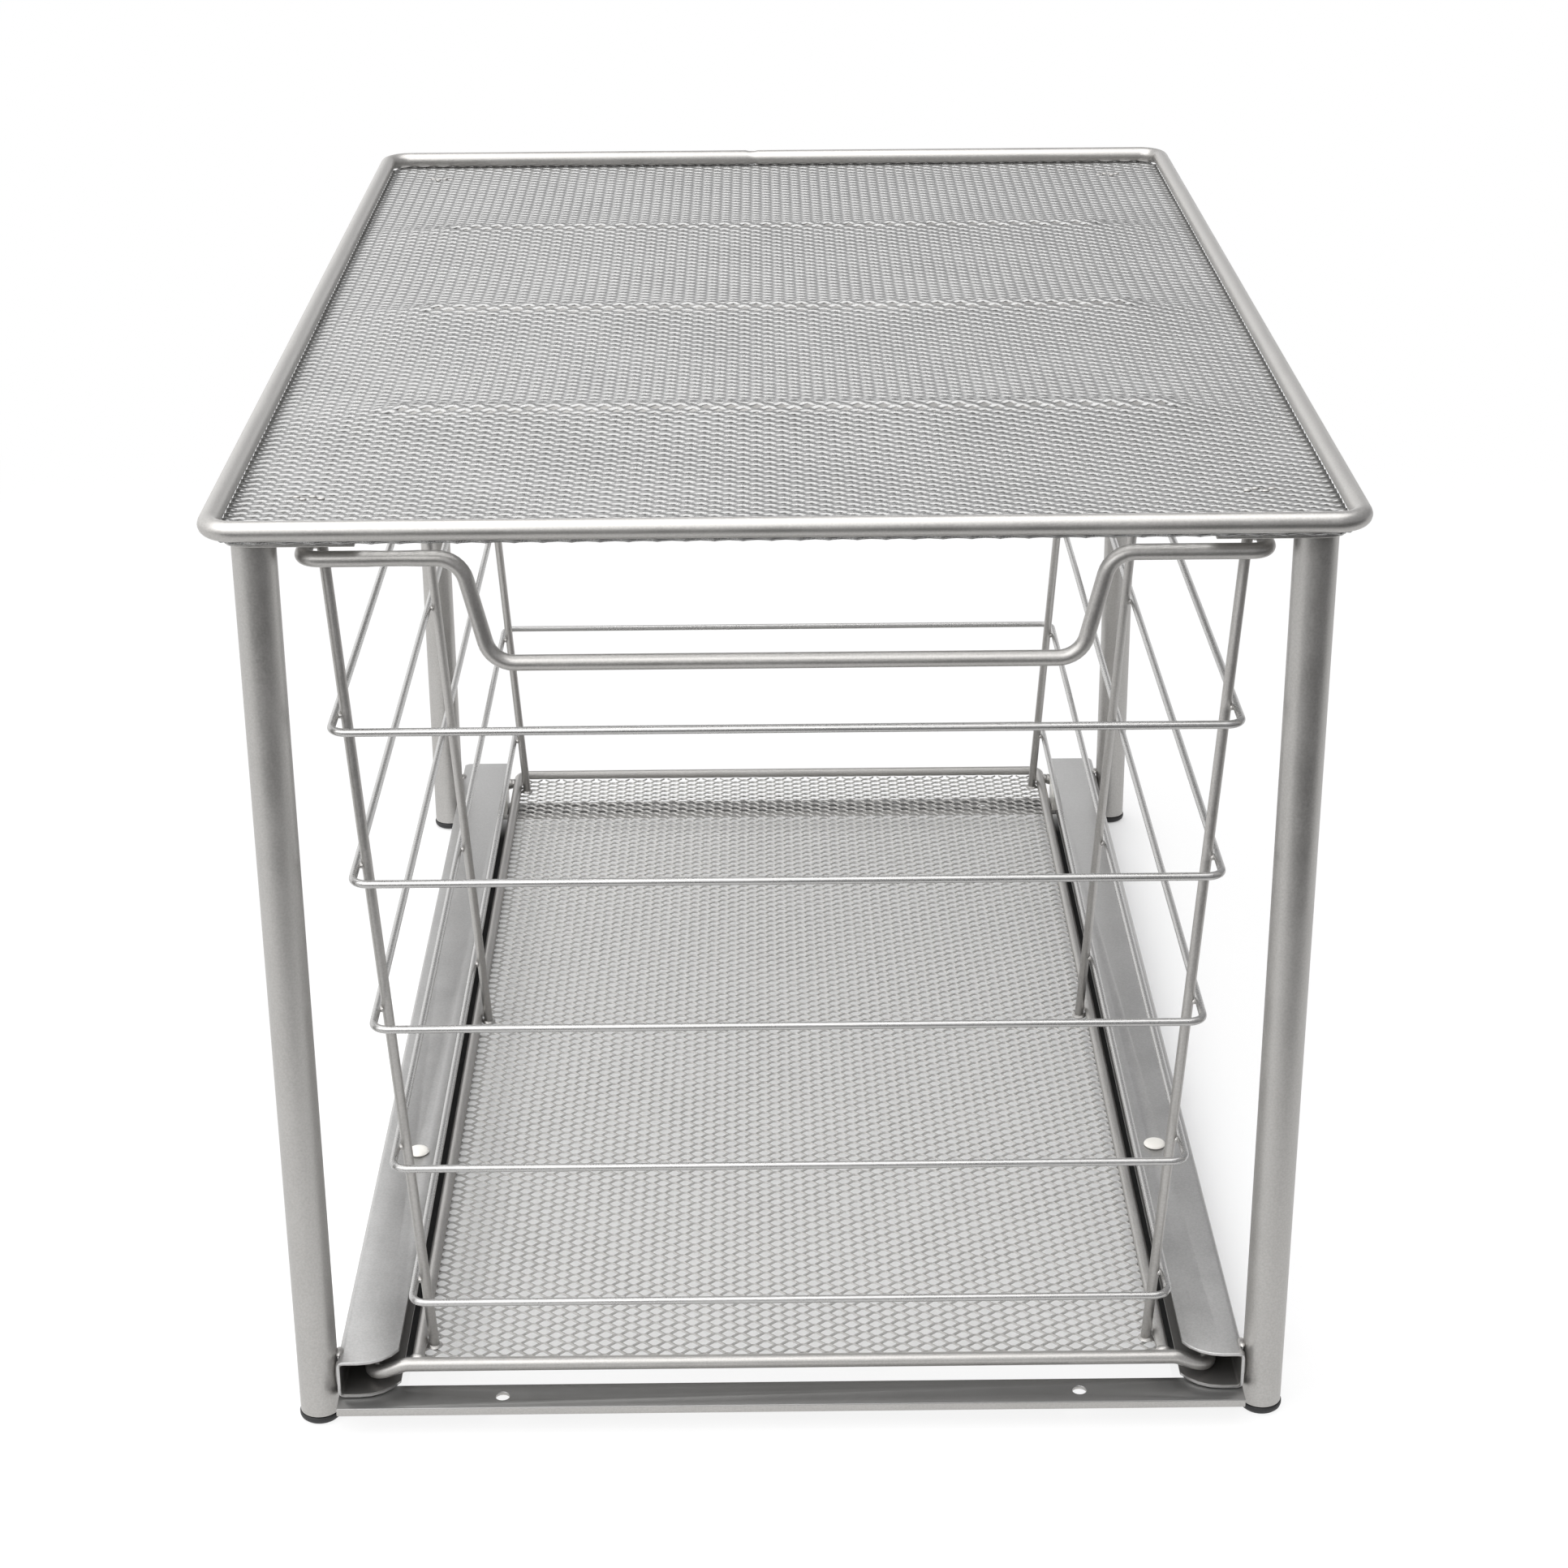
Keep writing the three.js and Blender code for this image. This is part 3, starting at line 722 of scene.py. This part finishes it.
# %% [markdown]
# Three straight wires stand on each side of the bottom and lean outwards to the handle wire. Five
# thin hoops are welded around them.

# %% Side wires and hoops
upright_wire = 3.1 * mm
upright_foot = (107.63 * mm, 15.8 * mm)
upright_head = (125.03 * mm, 272.9 * mm)
upright_places = {}
for place in ("front", "middle", "rear"):
    low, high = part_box(f"upright_{place}_right")
    upright_places[place] = (low.y + high.y) / 2
    for side, sign in (("left", -1), ("right", 1)):
        y = upright_places[place]
        foot = (sign * upright_foot[0], y, upright_foot[1])
        head = (sign * upright_head[0], y, upright_head[1])
        bm = bent_wire([foot, head], [], upright_wire, sides=16)
        node = f"upright_{place}_{side}"
        finish_piece(bm, f"side_wire_{place}_{side}", "drawer", "silver_paint", node)

hoop_bend = 4.5 * mm
hoop_places = []
for number in range(1, 6):
    low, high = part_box(f"ring_{number}")
    hoop_wire = high.z - low.z
    level = (low.z + high.z) / 2
    half_width = high.x - hoop_wire / 2
    hoop_places.append((half_width, level))
    hoop = rectangle(half_width, low.y + hoop_wire / 2, high.y - hoop_wire / 2, level)
    bm = bent_wire(hoop, [hoop_bend], hoop_wire, closed=True, sides=14)
    node = f"ring_{number}"
    finish_piece(bm, f"hoop_wire_{number}", "drawer", "silver_paint", node, finish="silver_hoop")

# %% [markdown]
# The handle is the drawer's top wire. Its front run dips over a hand's width, with tight bends at
# the corners and wider ones at the dip. It was butt-welded in the front run's left part, and the
# weld was dressed flat.

# %% Handle wire
low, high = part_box("handle_rim")
handle_wire = 4.4 * mm
handle_level = high.z - handle_wire / 2
dip_level = low.z + handle_wire / 2
handle_half = high.x - handle_wire / 2
handle_front = low.y + handle_wire / 2
handle_rear = high.y - handle_wire / 2
dip_top = 86.8 * mm
dip_foot = 79.5 * mm
handle = [
    (-handle_half, handle_rear, handle_level), (-handle_half, handle_front, handle_level),
    (-dip_top, handle_front, handle_level), (-dip_foot, handle_front, dip_level),
    (dip_foot, handle_front, dip_level), (dip_top, handle_front, handle_level),
    (handle_half, handle_front, handle_level), (handle_half, handle_rear, handle_level),
]
corner_bend, dip_bend = 4.8 * mm, 8 * mm
bends = [corner_bend, corner_bend, dip_bend, dip_bend, dip_bend, dip_bend, corner_bend, corner_bend]
bm = bent_wire(handle, bends, handle_wire, closed=True, sides=22)
weld_spot = Vector((-104.3 * mm, handle_front, handle_level))
squeeze_wire(bm, weld_spot, crosswise, 7 * mm, (1, 0.9, 0.96))
finish_piece(bm, "handle_wire", "drawer", "silver_paint", "handle_rim")

# %% [markdown]
# The wires are spot-welded where they touch, and each weld leaves a small drop of steel under the
# paint. The gussets are welded through the shelf's mesh, which leaves a few specks near its corners.
# The drops are squashed balls with few faces, gathered into one piece for the stand and one for the
# drawer. Their sizes, in millimetres, stand in one list.

# %% Weld drops
drop_sizes = {
    "hoop": (2.6, 3.0, 2.0), "handle": (3.0, 4.0, 3.0), "side wire": (5.0, 5.0, 1.6),
    "front bar": (5.4, 3.4, 4.4), "runner": (3.6, 4.6, 3.6),
    "leg side": (3.4, 5.0, 2.6), "leg end": (5.0, 3.0, 2.2),
    "rail seam": (1.6, 3.6, 9.5), "rail top": (2.6, 5.0, 1.8), "speck": (2.3, 1.3, 0.9),
}


def drop(bm, kind, at):
    size = [side * mm for side in drop_sizes[kind]]
    place = Matrix.Translation(at) @ Matrix.Diagonal((*size, 1))
    bmesh.ops.create_icosphere(bm, subdivisions=2, radius=0.5, matrix=place)


def upright_x(level):
    share = (level - upright_foot[1]) / (upright_head[1] - upright_foot[1])
    return upright_foot[0] + share * (upright_head[0] - upright_foot[0])


side_weld_level = 15.6 * mm
bar_weld_y = bar_front + 2.6 * mm
runner_weld_x = 113.6 * mm
bm = bmesh.new()
for sign in (-1, 1):
    for y in upright_places.values():
        for half_width, level in hoop_places:
            inner = upright_x(level)
            drop(bm, "hoop", (sign * (half_width + inner) / 2, y, level))
        between = (handle_half + upright_head[0]) / 2
        drop(bm, "handle", (sign * between, y, handle_level))
        drop(bm, "side wire", (sign * upright_foot[0], y, side_weld_level))
    drop(bm, "front bar", (sign * frame_half, bar_weld_y, bar_level))
    drop(bm, "runner", (sign * runner_weld_x, runner_rear, bar_level))
finish_piece(bm, "drawer_weld_drops", "drawer", "silver_paint")

tube_edge = 5.6 * mm
below_head = -0.2 * mm
seam_x = 135 * mm
seam_before_leg = -2.4 * mm
seam_level = 15.8 * mm
rail_top_x = 134.6 * mm
rail_top_level = 22 * mm
bm = bmesh.new()
for top in leg_places.values():
    side = 1 if top.x > 0 else -1
    end = 1 if top.y > 0 else -1
    drop(bm, "leg side", top + Vector((-side * tube_edge, 0, below_head)))
    drop(bm, "leg end", top + Vector((0, -end * tube_edge, below_head)))
    drop(bm, "rail seam", (side * seam_x, top.y + seam_before_leg, seam_level))
    drop(bm, "rail top", (side * rail_top_x, top.y, rail_top_level))
speck_x = 130
speck_rows = (-188.8, 207)
speck_moves = ((-3.6, -0.8), (-1.1, 0.9), (1.4, -1.2), (3.4, 0.7))
speck_level = shelf_level + 0.25 * mm
for side, row, move in product((-1, 1), speck_rows, speck_moves):
    x = side * (speck_x + move[0]) * mm
    drop(bm, "speck", (x, (row + move[1]) * mm, speck_level))
finish_piece(bm, "stand_weld_drops", "stand", "silver_paint")

# %% [markdown]
# The object stands on white paper, which the camera sees as plain white with a soft shadow. In
# mirror images and in the light that it gives back, the paper fades to grey well in front of the
# object, as in a darker room, so the legs have something to reflect. Under the drawer and the rails
# its glow is cut as a painted shadow, and the slot below each rail's lip is painted dark as a painted
# shadow. Light Path tells a ray of the camera from a mirrored one.

# %% Paper floor
paper = bmesh.new()
bmesh.ops.create_grid(paper, x_segments=1, y_segments=1, size=8)
paper_mesh = bpy.data.meshes.new("paper_floor")
paper.to_mesh(paper_mesh)
paper.free()
floor = bpy.data.objects.new("paper_floor", paper_mesh)
bpy.context.scene.collection.objects.link(floor)

paper_finish, start = new_finish("white paper")
place = start.node("ShaderNodeTexCoord", output="Object")
depth = along(place, "Y")
across = along(place, "X")
apart = across * across
seen = start.node("ShaderNodeLightPath", output="Is Camera Ray")
mirrored = start.node("ShaderNodeLightPath", output="Is Glossy Ray")
mirrored = mirrored + start.node("ShaderNodeLightPath", output="Is Transmission Ray")
near = steps_between(depth - 0.3 * across, -0.62, -0.31)
far = steps_between(depth, 0.3, 0.75)
# Painted shadow: the glow is cut under the drawer.
shadow_under = steps_between(depth, -0.196, -0.184) * steps_between(depth, 0.2, 0.3, 1, 0)
shadow_under = shadow_under * steps_between(apart, 0.12 ** 2, 0.17 ** 2, 1, 0)
# Painted shadow: the glow is cut further under the rails.
rails = shadow_under * steps_between(apart, 0.109 ** 2, 0.115 ** 2)
# Painted shadow: the slot below each rail's lip is painted dark.
slot_shadow = steps_between(apart, 0.1163 ** 2, 0.1171 ** 2)
slot_shadow = slot_shadow * steps_between(apart, 0.1215 ** 2, 0.1235 ** 2, 1, 0)
slot_shadow = slot_shadow * steps_between(depth, -0.21, -0.19) * steps_between(depth, 0.2, 0.23, 1, 0)
# dark paper for the darker room in mirror images and for the painted shadow in the slots
painted_dark_paper = (0.04, 0.04, 0.04)
white_paper = (0.95, 0.95, 0.95)
pale = blend_colours((1 - (1 - near) * (1 - seen)) * (1 - slot_shadow), painted_dark_paper, white_paper)
sheet = start.node("ShaderNodeBsdfDiffuse", sockets={"Color": pale})
white = start.node("ShaderNodeEmission", sockets={"Color": (1, 1, 1, 1), "Strength": 1})
glow = (seen + mirrored * near) * (0.85 + 0.15 * far - 0.55 * shadow_under - 0.35 * rails)
backdrop = start.node("ShaderNodeMixShader", sockets={0: glow, 1: sheet, 2: white})
start.node("ShaderNodeOutputMaterial", sockets={"Surface": backdrop})
paper_mesh.materials.append(paper_finish)
print("floor", len(paper_mesh.polygons), "face")

# %% [markdown]
# The room is a dim studio with a lit wall on the left, which gives the tubes and wires a bright left
# side and a darker right one. A pale band low at the back is mirrored in the shelf. The camera itself
# sees plain white around the paper. The one lamp is a soft box above the camera, large enough to light
# the shelf from its front to its back.

# %% Light
world = bpy.data.worlds.new("studio")
world.use_nodes = True
bpy.context.scene.world = world
sky = Field(world.node_tree)
direction = sky.node("ShaderNodeTexCoord", output="Generated")
height = along(direction, "Z")
left_wall = steps_between(along(direction, "X"), -0.5, 0.3, 1, 0) * steps_between(height, 0.1, 0.9, 1, 0.2)
low_rear = steps_between(along(direction, "Y"), 0.7, 0.95) * steps_between(height, 0.12, 0.4, 1, 0)
lit = left_wall + 0.85 * low_rear * (1 - left_wall)
dim_wall = (0.4, 0.4, 0.41)
bright_wall = (1.4, 1.4, 1.4)
walls = blend_colours(lit, dim_wall, bright_wall)
seen = sky.node("ShaderNodeLightPath", output="Is Camera Ray")
room = blend_colours(seen, walls, (1, 1, 1))
world.node_tree.links.new(room.socket, world.node_tree.nodes["Background"].inputs["Color"])

soft_box = bpy.data.lights.new("soft_box", "AREA")
soft_box.shape = "RECTANGLE"
soft_box.size = 1.8
soft_box.size_y = 2.5
soft_box.energy = 38
lamp = bpy.data.objects.new("soft_box", soft_box)
lamp.location = (-0.3, -0.38, 1.3)
aim = Vector((0, 0, 0.1)) - lamp.location
lamp.rotation_euler = aim.to_track_quat("-Z", "Y").to_euler()
bpy.context.scene.collection.objects.link(lamp)
print("soft box", soft_box.energy, "W")

# %% [markdown]
# The camera stands where the photograph was taken from: about a metre in front and half a metre up,
# looking down a little, with a 71 mm lens on a 36 mm square sensor. The place and the angles were
# worked out from the rim, the legs and the floor.

# %% Camera
lens = bpy.data.cameras.new("photograph_view")
lens.sensor_fit = "HORIZONTAL"
lens.sensor_width = 36
lens.lens = 70.99
camera = bpy.data.objects.new("photograph_view", lens)
bpy.context.scene.collection.objects.link(camera)
place = Matrix.Translation((-0.0060, -0.9951, 0.5437))
turn = Matrix.Rotation(radians(-0.377), 4, "Z")
tilt = Matrix.Rotation(radians(90 - 23.492), 4, "X")
roll = Matrix.Rotation(radians(-0.388), 4, "Z")
camera.matrix_world = place @ turn @ tilt @ roll
bpy.context.scene.camera = camera
bpy.context.scene.view_settings.view_transform = "Standard"
print("camera", camera.name)
